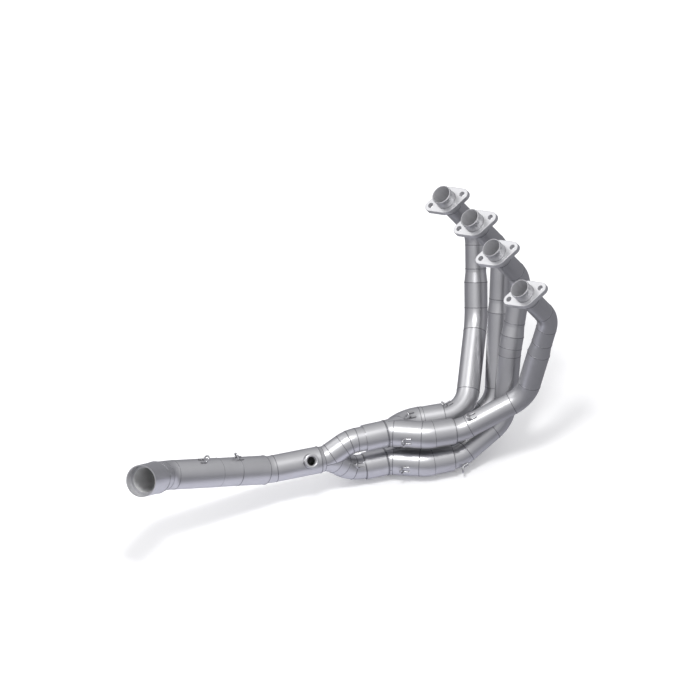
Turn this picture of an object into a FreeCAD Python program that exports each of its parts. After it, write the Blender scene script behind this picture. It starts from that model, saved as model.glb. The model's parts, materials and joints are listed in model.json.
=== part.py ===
import FreeCAD, Part
import math
import os

from FreeCAD import Vector

os.makedirs("parts", exist_ok=True)

# Four-into-two-into-one header and link pipe of a motorcycle with four cylinders in line.
# X points to the front of the bike, Y to its left and Z up, in millimetres.
# The origin is the centre of the mating face of flange 4, the one at the bike's right side.
# Pipes are counted from the left: 1 and 4 join above, 2 and 3 join below.

# Exhaust ports of the cylinder head
port_tilt = 31.3
bolt_line_turn = 24.3
port_centre = {
    "1": Vector(-17.5, 297.0, -10.5),
    "2": Vector(-1.5, 210.0, -1.0),
    "3": Vector(0.0, 120.0, 0.0),
    "4": Vector(0.0, 0.0, 0.0),
}

# Flange plates
flange_thickness = 10.0
flange_round_radius = 27.0
flange_lobe_radius = 11.5
flange_edge_chamfer = 0.8
bolt_spacing = 64.6
bolt_hole_diameter = 10.5
spigot_clearance = 0.3

# Turned spigots, which carry the flanges
spigot_reach = 20.0
spigot_step = 0.5
spigot_collar_width = 4.0
spigot_collar_step = 4.5
spigot_tail = 8.0
spigot_rim_chamfer = 0.8

# Head pipes, from the spigots down past the elbows
head_diameter = 38.0
head_wall = 2.0
elbow_radius = 50.0
elbow_distance = {"1": 113.0, "2": 104.0, "3": 99.0, "4": 96.0}

# Reducers, which widen the head pipes to the primaries
reducer_collar = 6.0
reducer_cone = 18.0
reducer_below_elbow = {"1": 72.0, "2": 90.0, "3": 83.0, "4": 54.0}

# Primaries, down the front of the engine and back under it
primary_diameter = 42.0
primary_wall = 1.5
primary_insertion = 18.0
primary_bend_radii = {
    "1": [100.0, 58.0],
    "2": [58.0, 58.0],
    "3": [120.0, 58.0, 55.0],
    "4": [58.0, 70.0],
}

# Slip sleeves, the sockets in which the primaries end
sleeve_wall = 3.05
sleeve_length = 38.0
slip_clearance = 0.2
sleeve_setback = {"1": 6.0, "2": 6.0, "3": 0.0, "4": 0.0}

# Two-into-one merges, one above the other
merge_wall = 2.0
merge_step = 0.75
merge_gap = 12.0
merge_tail = 2.0
branch_bend_radius = 60.0
merge_bend_radius = 36.0
merge_branches = {"upper": ["1", "4"], "lower": ["2", "3"]}

# Outlet sleeves of the merges and the legs that they hold
outlet_sleeve_step = 0.25
outlet_sleeve_wall = 2.05
outlet_sleeve_length = 40.0
leg_wall = 1.5
leg_insertion = 20.0
leg_bend_radius = 60.0

# Radii from the primaries to the legs, each taken from the piece before
primary_radius = primary_diameter / 2
primary_bore = primary_radius - primary_wall
sleeve_bore = primary_radius + slip_clearance
sleeve_radius = sleeve_bore + sleeve_wall
merge_radius = sleeve_radius + merge_step
merge_bore = merge_radius - merge_wall
outlet_sleeve_radius = merge_radius - outlet_sleeve_step
outlet_sleeve_bore = outlet_sleeve_radius - outlet_sleeve_wall
leg_radius = outlet_sleeve_bore - slip_clearance
leg_bore = leg_radius - leg_wall

# Levels of the runs under the engine
upper_level = -298.0
lower_level = upper_level - 2 * merge_radius - merge_gap
pipe_1_drop = 11.0
pipe_2_drop = 4.0
run_level = {
    "1": upper_level - pipe_1_drop,
    "2": lower_level - pipe_2_drop,
    "3": lower_level,
    "4": upper_level,
}

# Corners of the centrelines of the primaries, merges and legs
primary_corners = {
    "1": [Vector(-3.0, 200.0, -234.0), Vector(-90.5, 58.5, run_level["1"])],
    "2": [Vector(-22.0, 75.5, -325.0), Vector(-110.0, 68.0, run_level["2"])],
    "3": [Vector(3.0, 69.0, -202.0), Vector(-30.0, 25.0, -321.0), Vector(-126.0, 6.5, run_level["3"])],
    "4": [Vector(-0.5, -5.5, -250.0), Vector(-121.0, 9.0, run_level["4"])],
}
branch_corner = {
    "1": Vector(-202.0, 80.5, run_level["1"]),
    "2": Vector(-186.0, 72.0, run_level["2"]),
    "3": Vector(-190.0, 17.0, run_level["3"]),
    "4": Vector(-184.0, 22.0, run_level["4"]),
}
merge_ring = {"upper": Vector(-253.0, 58.5, upper_level), "lower": Vector(-256.0, 51.5, lower_level)}
leg_corner = {"upper": Vector(-321.0, 67.5, upper_level), "lower": Vector(-320.0, 61.0, lower_level)}

# Y piece, which joins the two legs
y_ring = Vector(-383.0, 67.0, -318.0)
y_tail = 2.0
y_bend_radius = 48.0
flare_length = 14.0

# Outlet pipe behind the Y piece, with the boss for an oxygen sensor
outlet_diameter = 49.5
outlet_wall = 1.5
outlet_bend_radius = 60.0
outlet_bend_overlap = 15.0
link_front_corner = Vector(-479.0, 76.5, -312.5)
boss_distance = 22.0
boss_diameter = 27.0
boss_height = 9.0
boss_thread_bore = 16.4
boss_chamfer = 1.2
boss_turn = 46.0

# Link pipe: sleeve, spigot, pipe and the socket for the silencer
link_sleeve_wall = 1.55
link_sleeve_length = 62.0
link_spigot_length = 42.0
link_spigot_insertion = 25.0
link_spigot_wall = 2.05
link_wall = 1.5
link_bend_radius = 60.0
link_rear_corner = Vector(-693.0, 62.5, -229.5)
mouth_centre = Vector(-766.5, 8.5, -169.0)
socket_length = 66.0
socket_depth = 18.0
socket_wall = 2.0
socket_fit = 0.1
silencer_clearance = 0.5
seat_ring_width = 3.0
seat_ring_step = 4.2

# Spring hooks of bent wire
hook_wire = 3.2
hook_width = 10.0
hook_leg = 11.0
hook_rise = 10.0
hook_rise_angle = 60.0
hook_bend_radius = 4.0
hook_loop_radius = 4.6
hook_weld_depth = 0.4
pipe_hook_before_sleeve = {"1": 26.0, "2": 24.0, "3": 20.0, "4": 51.0}
pipe_hook_turn = {"1": 25.0, "2": 80.0, "3": -118.0, "4": -8.0}
merge_hook_after_sleeve = {"1": 20.0, "2": 33.0, "3": 39.0, "4": 38.0}
merge_hook_turn = {"1": -16.0, "2": 75.0, "3": -82.0, "4": -80.0}
leg_hook_after_sleeve = 6.0
leg_hook_turn = -40.0
link_hook_from_joint = {"front": -50.0, "rear": 47.0}
link_hook_turn = {"front": 12.0, "rear": 4.0}


class Route:
    """Centreline of straight runs joined by tangent arcs, measured from its first corner"""

    def __init__(self, corners, radii):
        self.spans = []
        self.bends = []
        self.length = 0.0
        start = corners[0]
        for i in range(1, len(corners) - 1):
            before = (corners[i] - corners[i - 1]).normalize()
            after = (corners[i + 1] - corners[i]).normalize()
            turn = before.getAngle(after)
            tangent = radii[i - 1] * math.tan(turn / 2)
            bend_start = corners[i] - before * tangent
            self.add_run(start, bend_start)
            axis = before.cross(after).normalize()
            centre = bend_start + axis.cross(before) * radii[i - 1]
            bend_from = self.length
            self.add_arc(bend_start, before, centre, axis, turn, radii[i - 1])
            self.bends.append((bend_from, self.length))
            start = corners[i] + after * tangent
        self.add_run(start, corners[-1])

    def add_run(self, start, end):
        run = (end - start).Length
        direction = (end - start).normalize()
        self.spans.append((self.length, run, start, direction, None, None, None))
        self.length += run

    def add_arc(self, start, direction, centre, axis, turn, radius):
        self.spans.append((self.length, turn * radius, start, direction, centre, axis, radius))
        self.length += turn * radius

    def at(self, distance):
        """Point and direction at a distance along the centreline"""
        found = self.spans[0]
        for span in self.spans:
            if span[0] <= distance + 1e-9:
                found = span
        begin, run, start, direction, centre, axis, radius = found
        if centre is None:
            return start + direction * (distance - begin), Vector(direction)
        turn = FreeCAD.Rotation(axis, math.degrees((distance - begin) / radius))
        return centre + turn.multVec(start - centre), turn.multVec(direction)

    def sweep(self, start, end, outer, inner=0.0, seam=None):
        """Solid that a disc or ring fills on its way along the centreline"""
        pieces = []
        for begin, run, point, direction, centre, axis, radius in self.spans:
            low = max(start, begin)
            high = min(end, begin + run)
            if high - low < 1e-6:
                continue
            section_point, section_direction = self.at(low + 1e-9)
            section = disc(section_point, section_direction, outer, inner, seam)
            if centre is None:
                pieces.append(section.extrude(direction * (high - low)))
            else:
                pieces.append(section.revolve(centre, axis, math.degrees((high - low) / radius)))
        return join(pieces)


def disc(centre, direction, outer, inner=0.0, seam=None):
    """Flat disc, or ring if it has an inner radius, its rim closed on the side of the seam"""
    rim = Part.Circle(centre, direction, outer)
    if seam is not None:
        rim.XAxis = (seam - direction * seam.dot(direction)).normalize()
    wires = [Part.Wire(rim.toShape())]
    if inner > 0:
        wires.append(Part.Wire(Part.Circle(centre, direction, inner).toShape()))
    return Part.makeFace(wires, "Part::FaceMakerBullseye")


def join(solids):
    """One solid from several that touch or overlap"""
    whole = solids[0]
    if len(solids) > 1:
        whole = whole.fuse(solids[1:]).removeSplitter()
    return whole.Solids[0] if len(whole.Solids) == 1 else whole


def turned(centre, direction, profile):
    """Ring turned about an axis, from points of distance along the axis and radius"""
    side = direction.cross(Vector(0, 0, 1))
    if side.Length < 0.1:
        side = direction.cross(Vector(0, 1, 0))
    side.normalize()
    points = [centre + direction * along + side * radius for along, radius in profile]
    outline = Part.Face(Part.makePolygon(points + [points[0]]))
    return outline.revolve(centre, direction, 360).Solids[0]


def save(name, shape):
    """Write one piece, checked to be sound"""
    if not shape.isValid():
        raise ValueError(name + " is not a sound solid")
    shape.exportStep("parts/" + name + ".step")


# Directions that the ports share
port_axis = Vector(-math.sin(math.radians(port_tilt)), 0, math.cos(math.radians(port_tilt)))
port_across = Vector(math.cos(math.radians(port_tilt)), 0, math.sin(math.radians(port_tilt)))
turn_angle = math.radians(bolt_line_turn)
bolt_line = port_across * math.cos(turn_angle) - Vector(0, 1, 0) * math.sin(turn_angle)
outlet_line = (link_front_corner - y_ring).normalize()

head_radius = head_diameter / 2
head_bore = head_radius - head_wall
outlet_radius = outlet_diameter / 2
outlet_bore = outlet_radius - outlet_wall
link_sleeve_bore = outlet_radius + slip_clearance
link_sleeve_radius = link_sleeve_bore + link_sleeve_wall
link_spigot_radius = outlet_bore + link_spigot_wall
link_bore = link_spigot_radius + slip_clearance
link_radius = link_bore + link_wall


def last_corner(before, ring, line, radius, tail):
    """Corner of the bend that turns a route into the line of a ring, a short run before it"""
    corner = ring - line * tail
    for _ in range(30):
        turn = (corner - before).getAngle(line)
        corner = ring - line * (radius * math.tan(turn / 2) + tail)
    return corner


def pipe_route(pipe, merge):
    """Centreline of one pipe from the rim of its spigot to the ring of its merge"""
    ring = merge_ring[merge]
    ring_line = (leg_corner[merge] - ring).normalize()
    branch = branch_corner[pipe]
    corners = [port_centre[pipe] + port_axis * spigot_reach]
    corners.append(port_centre[pipe] - port_axis * elbow_distance[pipe])
    corners.extend(primary_corners[pipe])
    corners.append(branch)
    corners.append(last_corner(branch, ring, ring_line, merge_bend_radius, merge_tail))
    corners.append(ring)
    radii = [elbow_radius] + primary_bend_radii[pipe] + [branch_bend_radius, merge_bend_radius]
    return Route(corners, radii)


def leg_path(merge):
    """Centreline of one leg from the ring of its merge to the ring of the Y piece"""
    corner = leg_corner[merge]
    end_corner = last_corner(corner, y_ring, outlet_line, y_bend_radius, y_tail)
    return Route([merge_ring[merge], corner, end_corner, y_ring], [leg_bend_radius, y_bend_radius])


def flange(pipe):
    """Plate with two rounded lobes, cut from plate and loose on its spigot"""
    centre = port_centre[pipe]
    base = centre - port_axis * flange_thickness
    lobes = [base + bolt_line * (side * bolt_spacing / 2) for side in (-1, 1)]
    cross = port_axis.cross(bolt_line)
    spread = math.acos((flange_round_radius - flange_lobe_radius) / (bolt_spacing / 2))

    def rim(middle, radius, angle):
        return middle + bolt_line * (radius * math.cos(angle)) + cross * (radius * math.sin(angle))

    right_end = [rim(lobes[1], flange_lobe_radius, a) for a in (-spread, 0, spread)]
    top = [rim(base, flange_round_radius, a) for a in (spread, math.pi / 2, math.pi - spread)]
    left_end = [rim(lobes[0], flange_lobe_radius, math.pi + a) for a in (-spread, 0, spread)]
    bottom = [rim(base, flange_round_radius, math.pi + a) for a in (spread, math.pi / 2, math.pi - spread)]
    edges = []
    rims = [right_end, top, left_end, bottom]
    for i, points in enumerate(rims):
        edges.append(Part.Arc(*points).toShape())
        edges.append(Part.LineSegment(points[2], rims[(i + 1) % 4][0]).toShape())
    plate = Part.Face(Part.Wire(edges)).extrude(port_axis * flange_thickness)
    outline = [e for e in plate.Edges if abs((e.CenterOfMass - base).dot(port_axis) % flange_thickness) < 1e-6]
    plate = plate.makeChamfer(flange_edge_chamfer, outline)
    bore_radius = head_radius + spigot_clearance
    plate = plate.cut(Part.makeCylinder(bore_radius, flange_thickness, base, port_axis))
    for lobe in lobes:
        hole = Part.makeCylinder(bolt_hole_diameter / 2, flange_thickness, lobe, port_axis)
        plate = plate.cut(hole)
    return plate.Solids[0]


def spigot(pipe):
    """Turned tube that enters the port, with the collar that pulls it up behind the flange"""
    rim = port_centre[pipe] + port_axis * spigot_reach
    collar_start = spigot_reach + flange_thickness
    collar_end = collar_start + spigot_collar_width
    collar_radius = head_radius + spigot_collar_step
    spigot_radius = head_radius - spigot_step
    profile = [
        (0, head_bore),
        (0, spigot_radius - spigot_rim_chamfer),
        (spigot_rim_chamfer, spigot_radius),
        (spigot_reach, spigot_radius),
        (spigot_reach, head_radius),
        (collar_start, head_radius),
        (collar_start, collar_radius),
        (collar_end, collar_radius),
        (collar_end, head_radius),
        (collar_end + spigot_tail, head_radius),
        (collar_end + spigot_tail, head_bore),
    ]
    return turned(rim, port_axis * -1, profile)


def reducer(centre, direction):
    """Spun cone from the head pipe's size to the primary's"""
    length = reducer_collar + reducer_cone
    profile = [
        (0, head_bore),
        (0, head_radius),
        (reducer_collar, head_radius),
        (length, primary_radius),
        (length, primary_bore),
        (reducer_collar, head_bore),
    ]
    return turned(centre, direction, profile)


def hook(route, distance, side, turn, tube_radius):
    """U of bent wire welded to a tube, its loop lifted off it on the chosen side"""
    point, direction = route.at(distance)
    upright = Vector(0, 0, 1) - direction * direction.z
    upright.normalize()
    normal = FreeCAD.Rotation(direction, turn).multVec(upright)
    across = normal.cross(direction)
    forward = direction * side
    half = hook_width / 2
    drop = tube_radius - math.sqrt(tube_radius ** 2 - half ** 2)
    seat = point + normal * (tube_radius - drop + hook_wire / 2 - hook_weld_depth)
    rise = math.radians(hook_rise_angle)
    knee = seat + forward * hook_leg
    tip = knee + forward * (hook_rise * math.cos(rise)) + normal * (hook_rise * math.sin(rise))
    corners = [seat - across * half, knee - across * half, tip - across * half]
    corners += [tip + across * half, knee + across * half, seat + across * half]
    radii = [hook_bend_radius, hook_loop_radius, hook_loop_radius, hook_bend_radius]
    wire = Route(corners, radii)
    bent = wire.sweep(0, wire.length, hook_wire / 2)
    reach = hook_leg + hook_rise
    tube = route.sweep(distance - reach, distance + reach, tube_radius, seam=normal * -1)
    pieces = bent.cut(tube).Solids
    return max(pieces, key=lambda piece: piece.Volume)


# Pipes from the ports to the merges
routes = {}
sleeve_end = {}
for merge_name, pipes in merge_branches.items():
    for pipe in pipes:
        route = pipe_route(pipe, merge_name)
        routes[pipe] = route
        spigot_end = spigot_reach + flange_thickness + spigot_collar_width + spigot_tail
        reducer_start = spigot_reach + elbow_distance[pipe] + reducer_below_elbow[pipe]
        elbow = route.bends[0]
        elbow_corner = spigot_reach + elbow_distance[pipe]
        reducer_start += elbow[1] - elbow_corner - (elbow_corner - elbow[0])
        reducer_end = reducer_start + reducer_collar + reducer_cone
        sleeve_end[pipe] = route.bends[-2][0] - sleeve_setback[pipe]
        sleeve_start = sleeve_end[pipe] - sleeve_length
        primary_end = sleeve_start + primary_insertion
        save(f"flange_{pipe}", flange(pipe))
        save(f"port_spigot_{pipe}", spigot(pipe))
        save(f"head_pipe_{pipe}", route.sweep(spigot_end, reducer_start, head_radius, head_bore))
        save(f"reducer_{pipe}", reducer(*route.at(reducer_start)))
        save(f"primary_pipe_{pipe}", route.sweep(reducer_end, primary_end, primary_radius, primary_bore))
        save(f"slip_sleeve_{pipe}",
             route.sweep(sleeve_start, sleeve_end[pipe], sleeve_radius, sleeve_bore))
        pipe_place = sleeve_start - pipe_hook_before_sleeve[pipe]
        merge_place = sleeve_end[pipe] + merge_hook_after_sleeve[pipe]
        save(f"pipe_hook_{pipe}",
             hook(route, pipe_place, 1, pipe_hook_turn[pipe], primary_radius))
        save(f"merge_hook_{pipe}",
             hook(route, merge_place, 1, merge_hook_turn[pipe], merge_radius))

# Merges, outlet sleeves and legs
leg_route = {}
leg_split = {}
for merge_name, pipes in merge_branches.items():
    outer = []
    inner = []
    for pipe in pipes:
        route = routes[pipe]
        outer.append(route.sweep(sleeve_end[pipe], route.length, merge_radius))
        inner.append(route.sweep(sleeve_end[pipe], route.length, merge_bore))
    save(f"{merge_name}_merge", join(outer).cut(join(inner)).Solids[0])

    leg = leg_path(merge_name)
    leg_route[merge_name] = leg
    leg_start = outlet_sleeve_length - leg_insertion
    leg_split[merge_name] = sum(leg.bends[0]) / 2
    save(f"{merge_name}_outlet_sleeve",
         leg.sweep(0, outlet_sleeve_length, outlet_sleeve_radius, outlet_sleeve_bore))
    save(f"{merge_name}_leg", leg.sweep(leg_start, leg_split[merge_name], leg_radius, leg_bore))

leg_hook_place = outlet_sleeve_length + leg_hook_after_sleeve
save("leg_hook", hook(leg_route["lower"], leg_hook_place, 1, leg_hook_turn, leg_radius))

# Y piece
flare = [(-flare_length, 0), (-flare_length, leg_bore), (0, outlet_radius), (0, 0)]
flare_bore = [(-flare_length, 0), (-flare_length, leg_bore - leg_wall), (0, outlet_bore), (0, 0)]
outer = [turned(y_ring, outlet_line, flare)]
inner = [turned(y_ring, outlet_line, flare_bore)]
for merge_name, leg in leg_route.items():
    outer.append(leg.sweep(leg_split[merge_name], leg.length, leg_radius))
    inner.append(leg.sweep(leg_split[merge_name], leg.length, leg_bore))
save("y_piece", join(outer).cut(join(inner)).Solids[0])

# Outlet pipe, its bend and the sensor boss
tail = Route([y_ring, link_front_corner, link_rear_corner, mouth_centre],
             [outlet_bend_radius, link_bend_radius])
bend_start, bend_end = tail.bends[0]
boss_point, boss_line = tail.at(boss_distance)
upright = (Vector(0, 0, 1) - boss_line * boss_line.z).normalize()
boss_axis = FreeCAD.Rotation(boss_line, -boss_turn).multVec(upright)
boss_top = outlet_radius + boss_height
bore_cutter = Part.makeCylinder(boss_thread_bore / 2, 2 * boss_top, boss_point, boss_axis)
outlet_pipe = tail.sweep(0, bend_start, outlet_radius, outlet_bore)
save("outlet_pipe", outlet_pipe.cut(bore_cutter).Solids[0])
boss_profile = [
    (0, boss_thread_bore / 2),
    (boss_top - boss_chamfer, boss_thread_bore / 2),
    (boss_top, boss_thread_bore / 2 + boss_chamfer),
    (boss_top, boss_diameter / 2 - boss_chamfer),
    (boss_top - boss_chamfer, boss_diameter / 2),
    (0, boss_diameter / 2),
]
boss = turned(boss_point, boss_axis, boss_profile).cut(tail.sweep(0, bend_start, outlet_radius))
save("sensor_boss", max(boss.Solids, key=lambda s: s.Volume))
outlet_bend_end = bend_end + outlet_bend_overlap
save("outlet_bend", tail.sweep(bend_start, outlet_bend_end, outlet_radius, outlet_bore))

# Link sleeve and spigot, joined face to face
link_sleeve_end = bend_end + link_sleeve_length
link_spigot_end = link_sleeve_end + link_spigot_length
save("link_sleeve", tail.sweep(bend_end, link_sleeve_end, link_sleeve_radius, link_sleeve_bore))
spigot_point, spigot_line = tail.at(link_sleeve_end)
spigot_profile = [
    (0, outlet_bore),
    (0, link_sleeve_radius),
    (link_spigot_length, link_sleeve_radius),
    (link_spigot_length, link_spigot_radius),
    (link_spigot_length + link_spigot_insertion, link_spigot_radius),
    (link_spigot_length + link_spigot_insertion, outlet_bore),
]
save("link_spigot", turned(spigot_point, spigot_line, spigot_profile))

front_place = link_spigot_end + link_hook_from_joint["front"]
rear_place = link_spigot_end + link_hook_from_joint["rear"]
save("link_hook_front",
     hook(tail, front_place, 1, link_hook_turn["front"], link_sleeve_radius))
save("link_hook_rear", hook(tail, rear_place, -1, link_hook_turn["rear"], link_radius))

# Link pipe, seat ring and the socket at its mouth
seat_end = tail.length - socket_depth
link_end = seat_end - seat_ring_width
save("link_pipe", tail.sweep(link_spigot_end, link_end, link_radius, link_bore))
socket_bore = link_radius + socket_fit
socket_mouth_bore = link_radius + silencer_clearance
socket_radius = socket_mouth_bore + socket_wall
socket_point, socket_line = tail.at(tail.length - socket_length)
socket_profile = [
    (0, socket_bore),
    (0, socket_radius),
    (socket_length, socket_radius),
    (socket_length, socket_mouth_bore),
    (socket_length - socket_depth, socket_mouth_bore),
    (socket_length - socket_depth, socket_bore),
]
save("seat_ring", tail.sweep(link_end, seat_end, link_radius, link_radius - seat_ring_step))
save("silencer_socket", turned(socket_point, socket_line, socket_profile))
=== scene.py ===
import json
import math

import bmesh
import bpy
from mathutils import Euler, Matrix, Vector
from mathutils.bvhtree import BVHTree


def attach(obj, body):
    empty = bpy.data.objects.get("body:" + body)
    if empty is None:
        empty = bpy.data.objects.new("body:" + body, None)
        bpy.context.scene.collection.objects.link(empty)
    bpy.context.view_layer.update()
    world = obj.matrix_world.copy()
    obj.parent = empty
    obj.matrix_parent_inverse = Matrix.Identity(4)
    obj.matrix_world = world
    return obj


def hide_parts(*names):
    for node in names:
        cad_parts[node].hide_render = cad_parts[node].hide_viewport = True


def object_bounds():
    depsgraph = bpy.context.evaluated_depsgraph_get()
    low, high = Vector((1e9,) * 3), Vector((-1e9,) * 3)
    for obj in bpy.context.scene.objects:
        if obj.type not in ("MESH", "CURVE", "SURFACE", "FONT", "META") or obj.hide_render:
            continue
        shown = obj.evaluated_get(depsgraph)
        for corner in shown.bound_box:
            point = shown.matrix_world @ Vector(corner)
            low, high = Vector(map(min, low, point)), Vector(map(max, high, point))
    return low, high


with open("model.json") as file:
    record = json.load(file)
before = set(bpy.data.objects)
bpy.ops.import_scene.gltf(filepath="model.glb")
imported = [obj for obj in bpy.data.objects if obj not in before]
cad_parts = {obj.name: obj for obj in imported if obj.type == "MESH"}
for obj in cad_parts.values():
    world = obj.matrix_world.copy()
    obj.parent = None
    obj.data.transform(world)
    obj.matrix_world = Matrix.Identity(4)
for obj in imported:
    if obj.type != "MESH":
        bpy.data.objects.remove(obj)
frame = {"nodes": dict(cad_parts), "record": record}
cad_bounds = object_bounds()
nodes = frame["nodes"]


# Camera
# A parallel view from the bike's rear right and above, as the photograph has it.
# The origin of the part is the mating face of the right-hand flange.
view_turn = math.radians(-25.2)
view_height = math.radians(43.0)
view_width = 1.2636
view_centre = Vector((-0.3197, 0.0764, -0.0718))
view_distance = 4.0
view_reach = 20.0

camera_data = bpy.data.cameras.new("camera")
camera_data.type = "ORTHO"
camera_data.ortho_scale = view_width
camera_data.clip_end = view_reach
camera = bpy.data.objects.new("camera", camera_data)
bpy.context.scene.collection.objects.link(camera)
camera.rotation_euler = Euler((math.pi / 2 - view_height, 0, view_turn))
camera.location = view_centre + camera.rotation_euler.to_matrix() @ Vector((0, 0, view_distance))
bpy.context.scene.camera = camera


# Tubes
# Drawn stainless tube, bent on a mandrel, with turned spigots, reducers and socket, brushed
# to a satin finish outside. The bores stay matt. Those at the rear mouth get a paler, less
# metallic copy of that finish, which is painted light that lightens the shade inside them.
tube_colour = (0.52, 0.52, 0.533)
tube_roughness = 0.38
bore_colour = (0.62, 0.62, 0.635)
bore_roughness = 0.60
bore_grain = 700.0
bore_grain_depth = 0.00004
bore_sheen = 0.35
# Painted light: a paler, less metallic bore finish that lightens the shaded insides of the mouth
painted_light_bore_colour = (0.86, 0.86, 0.86)
painted_light_bore_sheen = 0.10
painted_light_bores = ("link_pipe", "seat_ring")
blotches_per_metre = 38.0
dark_blotch = 0.93
pale_blotch = 1.05
rubbed_gloss = 0.05
dulled_gloss = 0.06
grain_strength = 0.35
merge_distance = 1e-6
probe_lift = 1e-5
surfaces = {}
edges_of = {}


def add_node(tree, kind, **settings):
    """Node with its settings and its sockets set by name"""
    node = tree.nodes.new(kind)
    for name, value in settings.items():
        if hasattr(node, name):
            setattr(node, name, value)
        else:
            node.inputs[name].default_value = value
    return node


def steel(name, colour, roughness, grain, grain_depth, metallic=1.0):
    """Satin steel with fine grain, soft blotches and a slightly rubbed tone"""
    material = bpy.data.materials.new(name)
    material.use_nodes = True
    tree = material.node_tree
    link = tree.links.new
    shader = tree.nodes["Principled BSDF"]
    shader.inputs["Metallic"].default_value = metallic
    place = add_node(tree, "ShaderNodeTexCoord")
    blotches = add_node(
        tree, "ShaderNodeTexNoise", Scale=blotches_per_metre, Detail=4.0, Roughness=0.55
    )
    fine = add_node(tree, "ShaderNodeTexNoise", Scale=grain, Detail=3.0, Roughness=0.6)
    tone = add_node(tree, "ShaderNodeMixRGB")
    tone.inputs["Color1"].default_value = (*[part * dark_blotch for part in colour], 1)
    tone.inputs["Color2"].default_value = (*[part * pale_blotch for part in colour], 1)
    rough = add_node(tree, "ShaderNodeMapRange")
    rough.inputs["To Min"].default_value = roughness - rubbed_gloss
    rough.inputs["To Max"].default_value = roughness + dulled_gloss
    bump = add_node(tree, "ShaderNodeBump", Strength=grain_strength, Distance=grain_depth)
    link(place.outputs["Object"], blotches.inputs["Vector"])
    link(place.outputs["Object"], fine.inputs["Vector"])
    link(blotches.outputs["Fac"], tone.inputs["Fac"])
    link(tone.outputs["Color"], shader.inputs["Base Color"])
    link(fine.outputs["Fac"], rough.inputs["Value"])
    link(rough.outputs["Result"], shader.inputs["Roughness"])
    link(fine.outputs["Fac"], bump.inputs["Height"])
    link(bump.outputs["Normal"], shader.inputs["Normal"])
    return material


def face_patches(node):
    """Closed copy of a node's mesh, with its faces numbered by the surface they belong to"""
    mesh = bmesh.new()
    mesh.from_mesh(node.data)
    patch = mesh.faces.layers.int.new("patch")
    place = mesh.faces.layers.int.new("place")
    count = 0
    for first in mesh.faces:
        first[place] = first.index
        if first.tag:
            continue
        count += 1
        first.tag = True
        waiting = [first]
        while waiting:
            face = waiting.pop()
            face[patch] = count
            for edge in face.edges:
                for other in edge.link_faces:
                    if not other.tag:
                        other.tag = True
                        waiting.append(other)
    bmesh.ops.remove_doubles(mesh, verts=mesh.verts, dist=merge_distance)
    mesh.normal_update()
    return mesh, patch, place


def outer_patches(mesh, patch, tree):
    """Numbers of the surfaces that face outwards and aren't the inside of a bore"""
    seen = {}
    for face in mesh.faces:
        start = face.calc_center_median() + face.normal * probe_lift
        blocked = tree.ray_cast(start, face.normal)[0] is not None
        tally = seen.setdefault(face[patch], [0, 0])
        tally[0] += 1
        tally[1] += blocked
    return {number for number, (total, blocked) in seen.items() if blocked < total / 2}


def outer_edges(mesh, patch, outer):
    """Ends, direction into the metal and signed angle of the edges between outer surfaces"""
    found = []
    for edge in mesh.edges:
        one, other = edge.link_faces
        if one[patch] != other[patch] and one[patch] in outer and other[patch] in outer:
            ends = [vert.co.copy() for vert in edge.verts]
            inward = -(one.normal + other.normal).normalized()
            found.append((ends, inward, edge.calc_face_angle_signed()))
    return found


def finish_node(name, outside, inside):
    """One finish on a node's outer surfaces and another inside its bores and holes"""
    data = nodes[name].data
    mesh, patch, place = face_patches(nodes[name])
    surfaces[name] = BVHTree.FromBMesh(mesh)
    outer = outer_patches(mesh, patch, surfaces[name])
    edges_of[name] = outer_edges(mesh, patch, outer)
    data.materials.clear()
    data.materials.append(outside)
    data.materials.append(inside)
    finish_numbers = [0] * len(data.polygons)
    for face in mesh.faces:
        finish_numbers[face[place]] = int(face[patch] not in outer)
    data.polygons.foreach_set("material_index", finish_numbers)
    mesh.free()


tube_steel = steel("tube_steel", tube_colour, tube_roughness, grain=900.0, grain_depth=0.00003)
bore_steel = steel(
    "bore_steel", bore_colour, bore_roughness, bore_grain, bore_grain_depth, bore_sheen
)
# Painted light inside the rear mouth, paler than the other bores so that their shade is
# lightened
blasted_steel = steel(
    "blasted_steel", painted_light_bore_colour, bore_roughness, bore_grain, bore_grain_depth, painted_light_bore_sheen
)
for name in nodes:
    if "flange" not in name and "hook" not in name:
        finish_node(name, tube_steel, blasted_steel if name in painted_light_bores else bore_steel)


# Flange plates
# Lozenges of thick stainless plate, cut to shape and drilled for two studs. They are painted
# paler than the tube, as painted light for the light that falls on their faces. Each one is
# loose on its spigot, and the nuts on the studs draw it up to the port.
# Painted light: the plate is the tube's steel in a paler tone, for the light on its faces
painted_light_plate_colour = (0.68, 0.68, 0.69)
plate_roughness = 0.42

plate_steel = steel(
    "plate_steel", painted_light_plate_colour, plate_roughness, grain=1200.0, grain_depth=0.00003
)
for name in nodes:
    if "flange" in name:
        finish_node(name, plate_steel, bore_steel)


# Spring hooks
# Stainless wire, bent to a loop with two feet, which are welded to the tube. A tension
# spring from one hook to the next holds each slip joint together.
wire_colour = (0.46, 0.46, 0.47)
wire_roughness = 0.34

wire_steel = steel("wire_steel", wire_colour, wire_roughness, grain=1500.0, grain_depth=0.00002)
for name in nodes:
    if "hook" in name:
        finish_node(name, wire_steel, bore_steel)


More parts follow.
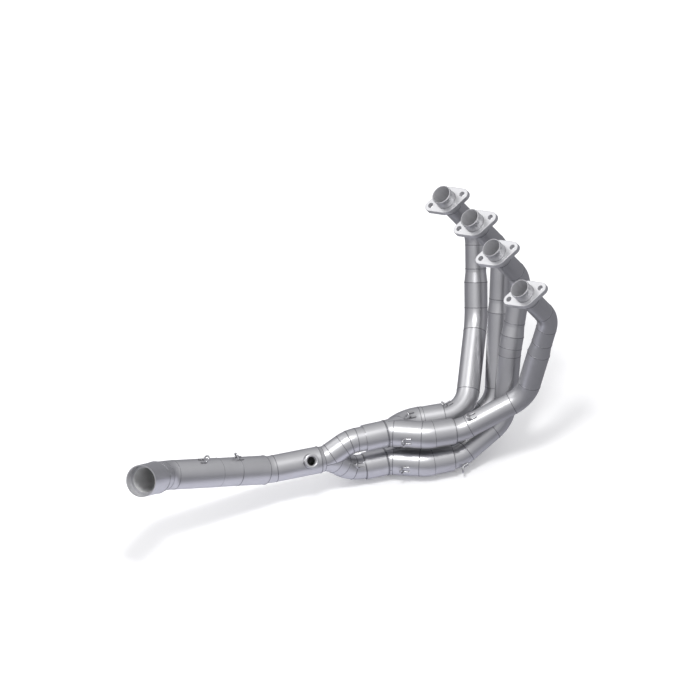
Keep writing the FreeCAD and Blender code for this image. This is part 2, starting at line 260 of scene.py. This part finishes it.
# Welds
# Rippled beads laid by hand where one tube ends on the next, where a bend meets a
# straight run, along the crotch of each merge and round each hook and the sensor boss.
weld_colour = (0.25, 0.25, 0.265)
weld_roughness = 0.42
bead_radius = 0.0009
bead_sunk = 0.0005
bead_step = 0.00035
bead_ripple = 0.0011
bead_ripple_depth = 0.00007
bead_sides = 8
uneven_per_metre = 350.0
joint_reach = 0.0028
foot_reach = 0.0002
rim_angle = math.radians(60)
same_place_digits = 7
welded_to = {
    "head_pipe": ["port_spigot", "reducer"],
    "primary_pipe": ["reducer"],
    "slip_sleeve": ["upper_merge", "lower_merge"],
    "upper_merge": ["upper_outlet_sleeve"],
    "lower_merge": ["lower_outlet_sleeve"],
    "upper_leg": ["y_piece"],
    "lower_leg": ["y_piece"],
    "y_piece": ["outlet_pipe"],
    "outlet_pipe": ["outlet_bend"],
    "link_sleeve": ["outlet_bend", "link_spigot"],
    "silencer_socket": ["link_pipe"],
}
fittings = ("flange", "port_spigot", "reducer", "silencer_socket", "seat_ring", "hook", "boss")
tubes = [name for name in nodes if not any(fitting in name for fitting in fittings)]


def mates(name):
    """Nodes that a node is welded to, those of its own cylinder where they are numbered"""
    found = []
    for other in welded_to.get(name.rstrip("_1234"), []):
        numbered = other + name[-2:]
        found.append(numbered if numbered in nodes else other)
    return found


def touches(point, others, reach):
    """True where a point lies on or near one of the nodes"""
    return any(surfaces[other].find_nearest(point, reach)[0] is not None for other in others)


def bead_edges(name):
    """Edges of a node that carry a bead, each with the direction into the metal"""
    chosen = []
    for ends, inward, angle in edges_of[name]:
        middle = (ends[0] + ends[1]) / 2
        if "hook" in name or "boss" in name:
            wanted = touches(middle, tubes, foot_reach)
        elif angle > rim_angle:
            wanted = touches(middle, mates(name), joint_reach)
        else:
            wanted = name in tubes and name != "link_spigot"
        if wanted:
            chosen.append((ends, inward))
    return chosen


def seam_line(name, edges):
    """Object made of the edges alone, sunk a little into the metal"""
    numbers = {}
    places = []
    inwards = []
    pairs = []
    for ends, inward in edges:
        pair = []
        for point in ends:
            key = tuple(round(part, same_place_digits) for part in point)
            if key not in numbers:
                numbers[key] = len(places)
                places.append(point)
                inwards.append(Vector())
            inwards[numbers[key]] += inward
            pair.append(numbers[key])
        pairs.append(pair)
    sunk = [point + inward.normalized() * bead_sunk for point, inward in zip(places, inwards)]
    mesh = bpy.data.meshes.new(name)
    mesh.from_pydata(sunk, pairs, [])
    line = bpy.data.objects.new(name, mesh)
    bpy.context.scene.collection.objects.link(line)
    return line


def bead_nodes():
    """Geometry nodes that lay a rippled bead along the lines of a mesh"""
    tree = bpy.data.node_groups.new("weld_bead", "GeometryNodeTree")
    new_socket = tree.interface.new_socket
    new_socket("Geometry", in_out="INPUT", socket_type="NodeSocketGeometry")
    for label in ("Radius", "Step", "Ripple", "Depth"):
        new_socket(label, in_out="INPUT", socket_type="NodeSocketFloat")
    new_socket("Sides", in_out="INPUT", socket_type="NodeSocketInt")
    new_socket("Material", in_out="INPUT", socket_type="NodeSocketMaterial")
    new_socket("Geometry", in_out="OUTPUT", socket_type="NodeSocketGeometry")
    link = tree.links.new
    given = add_node(tree, "NodeGroupInput")
    curve = add_node(tree, "GeometryNodeMeshToCurve")
    even = add_node(tree, "GeometryNodeResampleCurve", mode="LENGTH")
    along = add_node(tree, "GeometryNodeSplineParameter")
    kept = add_node(tree, "GeometryNodeCaptureAttribute", domain="POINT")
    kept.capture_items.new("FLOAT", "Length")
    ring = add_node(tree, "GeometryNodeCurvePrimitiveCircle")
    skin = add_node(tree, "GeometryNodeCurveToMesh")
    skin.inputs["Fill Caps"].default_value = True
    uneven = add_node(tree, "ShaderNodeTexNoise", Scale=uneven_per_metre, Detail=2.0)
    turns = add_node(tree, "ShaderNodeMath", operation="DIVIDE")
    shifted = add_node(tree, "ShaderNodeMath", operation="ADD")
    phase = add_node(tree, "ShaderNodeMath", operation="MULTIPLY")
    phase.inputs[1].default_value = 2 * math.pi
    wave = add_node(tree, "ShaderNodeMath", operation="SINE")
    height = add_node(tree, "ShaderNodeMath", operation="MULTIPLY")
    normal = add_node(tree, "GeometryNodeInputNormal")
    shift = add_node(tree, "ShaderNodeVectorMath", operation="SCALE")
    moved = add_node(tree, "GeometryNodeSetPosition")
    smooth = add_node(tree, "GeometryNodeSetShadeSmooth")
    real = add_node(tree, "GeometryNodeRealizeInstances")
    coloured = add_node(tree, "GeometryNodeSetMaterial")
    result = add_node(tree, "NodeGroupOutput")
    link(given.outputs["Geometry"], curve.inputs["Mesh"])
    link(curve.outputs["Curve"], even.inputs["Curve"])
    link(given.outputs["Step"], even.inputs["Length"])
    link(even.outputs["Curve"], kept.inputs["Geometry"])
    link(along.outputs["Length"], kept.inputs["Length"])
    link(kept.outputs["Geometry"], skin.inputs["Curve"])
    link(given.outputs["Sides"], ring.inputs["Resolution"])
    link(given.outputs["Radius"], ring.inputs["Radius"])
    link(ring.outputs["Curve"], skin.inputs["Profile Curve"])
    link(skin.outputs["Mesh"], moved.inputs["Geometry"])
    link(kept.outputs["Length"], turns.inputs[0])
    link(given.outputs["Ripple"], turns.inputs[1])
    link(turns.outputs[0], shifted.inputs[0])
    link(uneven.outputs["Fac"], shifted.inputs[1])
    link(shifted.outputs[0], phase.inputs[0])
    link(phase.outputs[0], wave.inputs[0])
    link(wave.outputs[0], height.inputs[0])
    link(given.outputs["Depth"], height.inputs[1])
    link(normal.outputs["Normal"], shift.inputs[0])
    link(height.outputs[0], shift.inputs["Scale"])
    link(shift.outputs["Vector"], moved.inputs["Offset"])
    link(moved.outputs["Geometry"], smooth.inputs["Geometry"])
    link(smooth.outputs["Geometry"], real.inputs["Geometry"])
    link(real.outputs["Geometry"], coloured.inputs["Geometry"])
    link(given.outputs["Material"], coloured.inputs["Material"])
    link(coloured.outputs["Geometry"], result.inputs["Geometry"])
    return tree


def keep_inside(mesh):
    """Flattens what would stand out of the box round the tubes"""
    low, high = cad_bounds
    for vert in mesh.vertices:
        vert.co = [min(max(part, least), most) for part, least, most in zip(vert.co, low, high)]


def laid_bead(name, line, settings):
    """Plain bead made along a line by the geometry nodes, which takes the line's place"""
    modifier = line.modifiers.new(name, "NODES")
    modifier.node_group = bead_tree
    for item in bead_tree.interface.items_tree:
        if item.in_out == "INPUT" and item.name in settings:
            modifier[item.identifier] = settings[item.name]
    line.update_tag()
    view = bpy.context.evaluated_depsgraph_get()
    mesh = bpy.data.meshes.new_from_object(line.evaluated_get(view), depsgraph=view)
    mesh.name = name
    keep_inside(mesh)
    bead = bpy.data.objects.new(name, mesh)
    bpy.context.scene.collection.objects.link(bead)
    line_mesh = line.data
    bpy.data.objects.remove(line)
    bpy.data.meshes.remove(line_mesh)
    return bead


weld_steel = steel("weld_steel", weld_colour, weld_roughness, grain=1500.0, grain_depth=0.00003)
bead_tree = bead_nodes()
bead_settings = {
    "Radius": bead_radius,
    "Step": bead_step,
    "Ripple": bead_ripple,
    "Depth": bead_ripple_depth,
    "Sides": bead_sides,
    "Material": weld_steel,
}
for name in nodes:
    edges = bead_edges(name)
    if edges:
        bead = laid_bead("weld_" + name, seam_line("line_" + name, edges), bead_settings)
        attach(bead, "root")


# Painted shade at the link pipe
# A thin dark ring, painted shade for the shadow in the gap where the link pipe is pushed
# onto its spigot. The springs pull this joint together, so it has no weld.
# Painted shade: a near-black, matt, non-metal ring laid round the joint's gap
gap_shade_colour = (0.055, 0.055, 0.06)
gap_shade_roughness = 0.75
gap_shade_radius = 0.00045

seal_paste = steel(
    "seal_paste", gap_shade_colour, gap_shade_roughness, grain=2500.0, grain_depth=0.00005, metallic=0.0
)
gap_shade_edges = []
for ends, inward, angle in edges_of["link_pipe"]:
    if angle > rim_angle and touches((ends[0] + ends[1]) / 2, ["link_spigot"], joint_reach):
        gap_shade_edges.append((ends, inward))
gap_shade_settings = {**bead_settings, "Radius": gap_shade_radius, "Material": seal_paste}
gap_shade_ring = laid_bead("seal_link_pipe", seam_line("line_seal", gap_shade_edges), gap_shade_settings)
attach(gap_shade_ring, "root")


# Sensor boss
# Turned boss with a machine-cut thread for the oxygen sensor, welded over a hole in the
# outlet pipe. The thread's grooves run out at both ends of the bore.
thread_pitch = 0.0015
thread_depth = 0.0008
thread_rows = 72
run_out = 0.0006
sharp_angle = math.radians(25)
bore_tolerance = 0.00005
probe_height = 0.02
sensor = [mount for mount in frame["record"]["mounts"] if mount["name"] == "oxygen_sensor"][0]
thread_centre = Vector(sensor["pos_m"])
thread_axis = Vector(sensor["axis"]).normalized()
thread_side = thread_axis.orthogonal().normalized()
thread_cross = thread_axis.cross(thread_side)
thread_radius = sensor["dims"]["r_mm"] / 1000


def around_bore(point):
    """Height, angle and radius of a point about the axis of the thread"""
    offset = point - thread_centre
    across = offset - thread_axis * offset.dot(thread_axis)
    turn = math.atan2(across.dot(thread_cross), across.dot(thread_side))
    return offset.dot(thread_axis), turn, across.length


def bore_point(height, turn, radius):
    """Point at a height, angle and radius about the axis of the thread"""
    outward = thread_side * math.cos(turn) + thread_cross * math.sin(turn)
    return thread_centre + thread_axis * height + outward * radius


def in_bore(face):
    """True where a face of the boss lies on the wall of its bore"""
    return all(abs(around_bore(v.co)[2] - thread_radius) < bore_tolerance for v in face.verts)


def tube_height(turn):
    """Height at which the bore, seen along its axis, meets the outlet pipe"""
    start = bore_point(probe_height, turn, thread_radius + bore_tolerance)
    return around_bore(surfaces["outlet_pipe"].ray_cast(start, -thread_axis)[0])[0]


def thread_wall(height, turn, top, bottom):
    """Radius of the threaded wall, whose groove fades out at the top and the bottom"""
    along = height / thread_pitch - turn / (2 * math.pi)
    groove = 1 - abs(2 * (along - math.floor(along)) - 1)
    fade = min(1.0, (top - height) / run_out, (height - bottom) / run_out)
    return thread_radius + thread_depth * groove * max(0.0, fade)


boss = bmesh.new()
boss.from_mesh(nodes["sensor_boss"].data)
bmesh.ops.remove_doubles(boss, verts=boss.verts, dist=merge_distance)
bore_wall = [face for face in boss.faces if in_bore(face)]
bmesh.ops.delete(boss, geom=bore_wall, context="FACES_ONLY")
bare_edges = [edge for edge in boss.edges if not edge.link_faces]
bmesh.ops.delete(boss, geom=bare_edges, context="EDGES")
rims = [edge for edge in boss.edges if len(edge.link_faces) == 1]
rim_verts = {v for edge in rims for v in edge.verts}
middle = sum(around_bore(v.co)[0] for v in rim_verts) / len(rim_verts)
lower_rim = [edge for edge in rims if around_bore(edge.verts[0].co)[0] < middle]
upper_rim = [v for v in rim_verts if around_bore(v.co)[0] > middle]
upper_rim.sort(key=lambda v: around_bore(v.co)[1])
columns = []
for vert in upper_rim:
    top, turn = around_bore(vert.co)[:2]
    columns.append((turn, top, tube_height(turn)))
rows = [upper_rim]
for row in range(1, thread_rows + 1):
    ring = []
    for turn, top, bottom in columns:
        height = top + (bottom - top) * row / thread_rows
        radius = thread_wall(height, turn, top, bottom)
        ring.append(boss.verts.new(bore_point(height, turn, radius)))
    rows.append(ring)
for above, below in zip(rows, rows[1:]):
    for i in range(len(above)):
        j = (i + 1) % len(above)
        boss.faces.new((above[i], above[j], below[j], below[i]))
last = rows[-1]
last_edges = [boss.edges.get((last[i], last[(i + 1) % len(last)])) for i in range(len(last))]
bmesh.ops.bridge_loops(boss, edges=last_edges + lower_rim)
bmesh.ops.recalc_face_normals(boss, faces=boss.faces)
boss_mesh = bpy.data.meshes.new("threaded_boss")
boss.to_mesh(boss_mesh)
boss.free()
boss_mesh.shade_smooth()
boss_mesh.set_sharp_from_angle(angle=sharp_angle)
boss_mesh.materials.append(tube_steel)
threaded_boss = bpy.data.objects.new("threaded_boss", boss_mesh)
bpy.context.scene.collection.objects.link(threaded_boss)
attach(threaded_boss, "root")
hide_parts("sensor_boss")


# Floor
# White ground under the lowest point of the part. In the metal it shows as a sheet of white
# paper under the merges and the link pipe, on the grey ground of a studio.
floor_gap = 0.0005
floor_size = 12.0
floor_level = cad_bounds[0][2] - floor_gap
floor_white = (0.95, 0.95, 0.95, 1)
floor_glow = 0.14
floor_roughness = 0.9
ground_grey = (0.28, 0.28, 0.30, 1)
paper_white = (0.90, 0.90, 1.0, 1)
paper_centre = (-0.45, 0.04, floor_level)
paper_reach = (0.62, 0.26, 1.0)
paper_edge = 0.55

half = floor_size / 2
floor_mesh = bpy.data.meshes.new("floor")
corners = [(-half, -half), (half, -half), (half, half), (-half, half)]
floor_mesh.from_pydata([(x, y, floor_level) for x, y in corners], [], [(0, 1, 2, 3)])
floor = bpy.data.objects.new("floor", floor_mesh)
bpy.context.scene.collection.objects.link(floor)
floor_material = bpy.data.materials.new("floor")
floor_material.use_nodes = True
tree = floor_material.node_tree
link = tree.links.new
shader = tree.nodes["Principled BSDF"]
shader.inputs["Roughness"].default_value = floor_roughness
shader.inputs["Specular IOR Level"].default_value = 0.0
shader.inputs["Emission Color"].default_value = (1, 1, 1, 1)
place = add_node(tree, "ShaderNodeTexCoord")
paper = add_node(tree, "ShaderNodeMapping", vector_type="TEXTURE")
paper.inputs["Location"].default_value = paper_centre
paper.inputs["Scale"].default_value = paper_reach
round_edge = add_node(tree, "ShaderNodeTexGradient", gradient_type="SPHERICAL")
flat_paper = add_node(tree, "ShaderNodeMapRange")
flat_paper.inputs["From Max"].default_value = paper_edge
ray = add_node(tree, "ShaderNodeLightPath")
mirrored = add_node(tree, "ShaderNodeMath", operation="MAXIMUM")
on_paper = add_node(tree, "ShaderNodeMath", operation="MULTIPLY")
reflected = add_node(tree, "ShaderNodeMixRGB", Color1=ground_grey, Color2=paper_white)
shade = add_node(tree, "ShaderNodeMixRGB", Color2=floor_white)
glow = add_node(tree, "ShaderNodeMath", operation="MULTIPLY")
glow.inputs[1].default_value = floor_glow
link(place.outputs["Object"], paper.inputs["Vector"])
link(paper.outputs["Vector"], round_edge.inputs["Vector"])
link(round_edge.outputs["Fac"], flat_paper.inputs["Value"])
link(ray.outputs["Is Glossy Ray"], mirrored.inputs[0])
link(ray.outputs["Is Transmission Ray"], mirrored.inputs[1])
link(flat_paper.outputs["Result"], on_paper.inputs[0])
link(mirrored.outputs[0], on_paper.inputs[1])
link(on_paper.outputs[0], reflected.inputs["Fac"])
link(reflected.outputs["Color"], shade.inputs["Color1"])
link(ray.outputs["Is Camera Ray"], shade.inputs["Fac"])
link(shade.outputs["Color"], shader.inputs["Base Color"])
link(ray.outputs["Is Camera Ray"], glow.inputs[0])
link(glow.outputs[0], shader.inputs["Emission Strength"])
floor_mesh.materials.append(floor_material)


# Studio
# White walls for the camera, and a room in the reflections that is grey at the level of the
# part and white overhead. One soft box hangs above the part and a wide one stands behind it.
wall_white = (1.0, 1.0, 1.0, 1)
low_wall_grey = (0.35, 0.35, 0.39, 1)
low_wall_share = 0.35
ceiling_white = (0.95, 0.95, 0.96, 1)
lamp_distance = 2.2

world = bpy.data.worlds.new("studio")
bpy.context.scene.world = world
world.use_nodes = True
tree = world.node_tree
link = tree.links.new
background = tree.nodes["Background"]
ray = add_node(tree, "ShaderNodeLightPath")
place = add_node(tree, "ShaderNodeTexCoord")
split = add_node(tree, "ShaderNodeSeparateXYZ")
height = add_node(tree, "ShaderNodeMapRange")
height.inputs["From Min"].default_value = -1.0
ramp = add_node(tree, "ShaderNodeValToRGB")
ramp.color_ramp.elements[0].position = low_wall_share
ramp.color_ramp.elements[0].color = low_wall_grey
ramp.color_ramp.elements[1].color = ceiling_white
shade = add_node(tree, "ShaderNodeMixRGB", Color2=wall_white)
link(place.outputs["Generated"], split.inputs["Vector"])
link(split.outputs["Z"], height.inputs["Value"])
link(height.outputs["Result"], ramp.inputs["Fac"])
link(ramp.outputs["Color"], shade.inputs["Color1"])
link(ray.outputs["Is Camera Ray"], shade.inputs["Fac"])
link(shade.outputs["Color"], background.inputs["Color"])


def soft_box(name, direction, size, power):
    """Square area light that faces the part from a direction"""
    light = bpy.data.lights.new(name, "AREA")
    light.size = size
    light.energy = power
    lamp = bpy.data.objects.new(name, light)
    bpy.context.scene.collection.objects.link(lamp)
    towards = Vector(direction).normalized()
    lamp.location = view_centre + towards * lamp_distance
    lamp.rotation_euler = towards.to_track_quat("Z", "Y").to_euler()


soft_box("top_light", (-0.19, -0.20, 0.95), size=0.45, power=24.0)
soft_box("back_light", (-0.46, 0.66, 0.59), size=1.2, power=5.0)

bpy.context.scene.view_settings.view_transform = "Standard"
